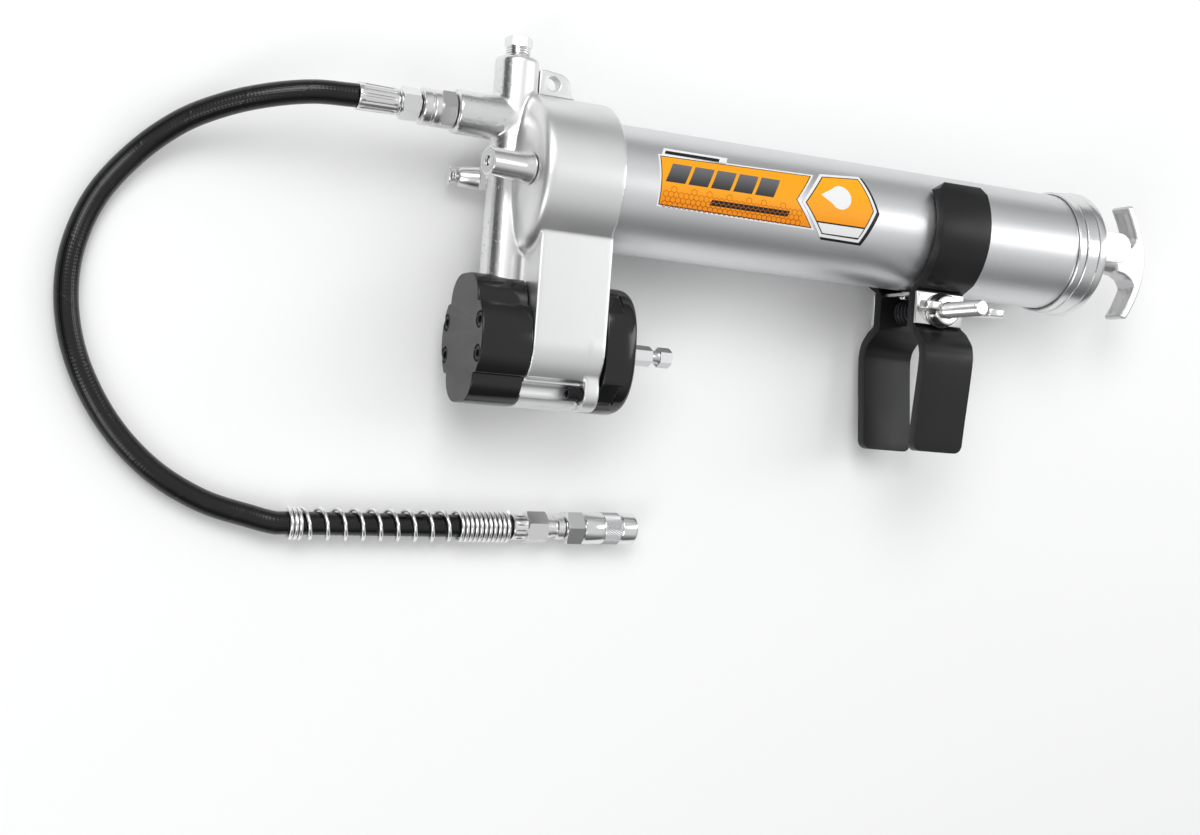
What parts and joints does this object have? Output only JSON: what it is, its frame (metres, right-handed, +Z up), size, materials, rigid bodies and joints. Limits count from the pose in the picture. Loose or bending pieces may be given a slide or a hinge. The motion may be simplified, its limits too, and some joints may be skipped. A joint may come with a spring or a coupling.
{
  "type": "drill-powered grease gun",
  "caption": "Grease gun lying on its side: barrel with T-handle, pump head with geared drill drive, hose with coupler and a clamp for the drill.",
  "frame": {"origin": "on the bench, under the middle of the gun without its hose", "axes": "+X to the T-handle, +Y to the top of the pump column, +Z up from the bench"},
  "size_m": [0.5334, 0.2236, 0.0866],
  "materials": {
    "barrel": "satin steel",
    "bleeder_body": "bright zinc plate",
    "bleeder_button": "satin steel",
    "bleeder_spring": "satin steel",
    "check_ball": "satin steel",
    "check_spring": "satin steel",
    "check_valve_plug": "satin steel",
    "clamp_bolt": "bright zinc plate",
    "coupler_body": "bright zinc plate",
    "coupler_jaws": "satin steel",
    "coupler_sleeve": "satin steel",
    "cover_screw_1": "black oxide",
    "cover_screw_2": "black oxide",
    "cover_screw_3": "black oxide",
    "cover_screw_4": "black oxide",
    "crank_bearing": "satin steel",
    "crank_carrier": "satin steel",
    "drive_shaft": "satin steel",
    "end_cap": "satin steel",
    "filler_ball": "satin steel",
    "filler_nipple": "satin steel",
    "filler_spring": "satin steel",
    "follower": "black rubber",
    "follower_nut": "bright zinc plate",
    "follower_plate": "bright zinc plate",
    "follower_rod": "satin steel",
    "follower_spring": "satin steel",
    "front_cover": "black enamel",
    "guard_spring": "satin steel",
    "guide_leg": "bright zinc plate",
    "guide_screw": "satin steel",
    "hang_lug": "cast, bright plated",
    "head_casting": "cast, bright plated",
    "hose": "black rubber",
    "hose_ferrule": "bright zinc plate",
    "hose_nut": "bright zinc plate",
    "housing_bolt_1": "black oxide",
    "housing_bolt_2": "black oxide",
    "jaw_far": "black enamel",
    "jaw_near": "black enamel",
    "jaw_spring": "black oxide",
    "outlet_adapter": "bright zinc plate",
    "planet_gear_1": "satin steel",
    "planet_gear_2": "satin steel",
    "planet_gear_3": "satin steel",
    "plate_far": "bright zinc plate",
    "plate_near": "bright zinc plate",
    "plunger": "satin steel",
    "rear_cover": "black enamel",
    "rear_screw_1": "black oxide",
    "rear_screw_2": "black oxide",
    "ring_gear": "satin steel",
    "rod_latch": "bright zinc plate",
    "shaft_bearing": "satin steel",
    "sun_gear": "satin steel",
    "t_handle": "cast, bright plated",
    "tail_fitting": "bright zinc plate",
    "wing_nut": "bright zinc plate",
    "yoke": "satin steel"
  },
  "bodies": {
    "gun": {"barrel": "barrel", "bleeder_body": "bleeder_body", "bleeder_spring": "bleeder_spring", "check_spring": "check_spring", "check_valve_plug": "check_valve_plug", "clamp_bolt": "clamp_bolt", "coupler_body": "coupler_body", "coupler_jaws": "coupler_jaws", "coupler_sleeve": "coupler_sleeve", "cover_screw_1": "cover_screw_1", "cover_screw_2": "cover_screw_2", "cover_screw_3": "cover_screw_3", "cover_screw_4": "cover_screw_4", "crank_bearing": "crank_bearing", "end_cap": "end_cap", "filler_nipple": "filler_nipple", "filler_spring": "filler_spring", "follower_spring": "follower_spring", "front_cover": "front_cover", "guard_spring": "guard_spring", "guide_leg": "guide_leg", "guide_screw": "guide_screw", "hang_lug": "hang_lug", "head_casting": "head_casting", "hose": "hose", "hose_ferrule": "hose_ferrule", "hose_nut": "hose_nut", "housing_bolt_1": "housing_bolt_1", "housing_bolt_2": "housing_bolt_2", "jaw_far": "jaw_far", "jaw_spring": "jaw_spring", "outlet_adapter": "outlet_adapter", "plate_far": "plate_far", "rear_cover": "rear_cover", "rear_screw_1": "rear_screw_1", "rear_screw_2": "rear_screw_2", "ring_gear": "ring_gear", "shaft_bearing": "shaft_bearing", "tail_fitting": "tail_fitting"},
    "crank": {"crank_carrier": "crank_carrier"},
    "planet_1": {"planet_gear_1": "planet_gear_1"},
    "planet_2": {"planet_gear_2": "planet_gear_2"},
    "planet_3": {"planet_gear_3": "planet_gear_3"},
    "input": {"drive_shaft": "drive_shaft", "sun_gear": "sun_gear"},
    "pump": {"plunger": "plunger", "yoke": "yoke"},
    "outlet_check": {"check_ball": "check_ball"},
    "bleeder": {"bleeder_button": "bleeder_button"},
    "filler_check": {"filler_ball": "filler_ball"},
    "piston": {"follower": "follower", "follower_plate": "follower_plate", "follower_nut": "follower_nut"},
    "handle": {"follower_rod": "follower_rod", "t_handle": "t_handle"},
    "latch": {"rod_latch": "rod_latch"},
    "near_jaw": {"jaw_near": "jaw_near", "plate_near": "plate_near"},
    "wing": {"wing_nut": "wing_nut"}
  },
  "joints": [
    {"name": "crank_spin", "type": "hinge", "parent": "gun", "child": "crank", "pos_m": [-0.1425, -0.0496, 0.0353], "axis": [1, 0, 0], "continuous": true},
    {"name": "input_spin", "type": "hinge", "parent": "gun", "child": "input", "pos_m": [-0.1045, -0.0496, 0.0353], "axis": [1, 0, 0], "continuous": true},
    {"name": "planet_1_spin", "type": "hinge", "parent": "crank", "child": "planet_1", "pos_m": [-0.128, -0.0496, 0.0473], "axis": [1, 0, 0], "continuous": true},
    {"name": "planet_2_spin", "type": "hinge", "parent": "crank", "child": "planet_2", "pos_m": [-0.128, -0.05999, 0.0293], "axis": [1, 0, 0], "continuous": true},
    {"name": "planet_3_spin", "type": "hinge", "parent": "crank", "child": "planet_3", "pos_m": [-0.128, -0.03921, 0.0293], "axis": [1, 0, 0], "continuous": true},
    {"name": "plunger_stroke", "type": "slide", "parent": "gun", "child": "pump", "axis": [0, 1, 0], "range_m": [-0.005, 0.005]},
    {"name": "outlet_ball_lift", "type": "slide", "parent": "gun", "child": "outlet_check", "axis": [0, 1, 0], "range_m": [0, 0.002], "stiffness_N_per_m": 200, "springref_m": -0.004, "deforming": ["check_spring"]},
    {"name": "bleeder_press", "type": "slide", "parent": "gun", "child": "bleeder", "axis": [0.9848, 0, 0.1736], "range_m": [0, 0.0015], "stiffness_N_per_m": 600, "springref_m": -0.002, "deforming": ["bleeder_spring"]},
    {"name": "filler_ball_press", "type": "slide", "parent": "gun", "child": "filler_check", "axis": [0.9848, 0, -0.1736], "range_m": [0, 0.002], "stiffness_N_per_m": 400, "springref_m": -0.002, "deforming": ["filler_spring"]},
    {"name": "follower_travel", "type": "slide", "parent": "gun", "child": "piston", "axis": [1, 0, 0], "range_m": [0, 0.215], "stiffness_N_per_m": 80, "springref_m": -0.05, "deforming": ["follower_spring"]},
    {"name": "handle_turn", "type": "hinge", "parent": "piston", "child": "handle", "pos_m": [0.1855, 0.0232, 0.0353], "axis": [1, 0, 0], "continuous": true},
    {"name": "latch_tilt", "type": "hinge", "parent": "gun", "child": "latch", "pos_m": [0.1537, 0.0232, 0.0223], "axis": [0, 1, 0], "range_deg": [0, 6], "stiffness_Nm_per_rad": 1, "springref_deg": -5.73},
    {"name": "jaw_travel", "type": "slide", "parent": "gun", "child": "near_jaw", "axis": [0, 0, 1], "range_m": [-0.0003, 0.0023], "deforming": ["jaw_spring"]},
    {"name": "wing_turn", "type": "hinge", "parent": "near_jaw", "child": "wing", "pos_m": [0.0625, -0.0151, 0.0603], "axis": [0, 0, 1], "range_deg": [-90, 670]}
  ],
  "couplings": [
    {"joint": "input_spin", "follows": "crank_spin", "ratio": 4},
    {"joint": "planet_1_spin", "follows": "crank_spin", "ratio": -3},
    {"joint": "planet_2_spin", "follows": "crank_spin", "ratio": -3},
    {"joint": "planet_3_spin", "follows": "crank_spin", "ratio": -3},
    {"joint": "wing_turn", "follows": "jaw_travel", "rad_per_m": 5026.6}
  ]
}
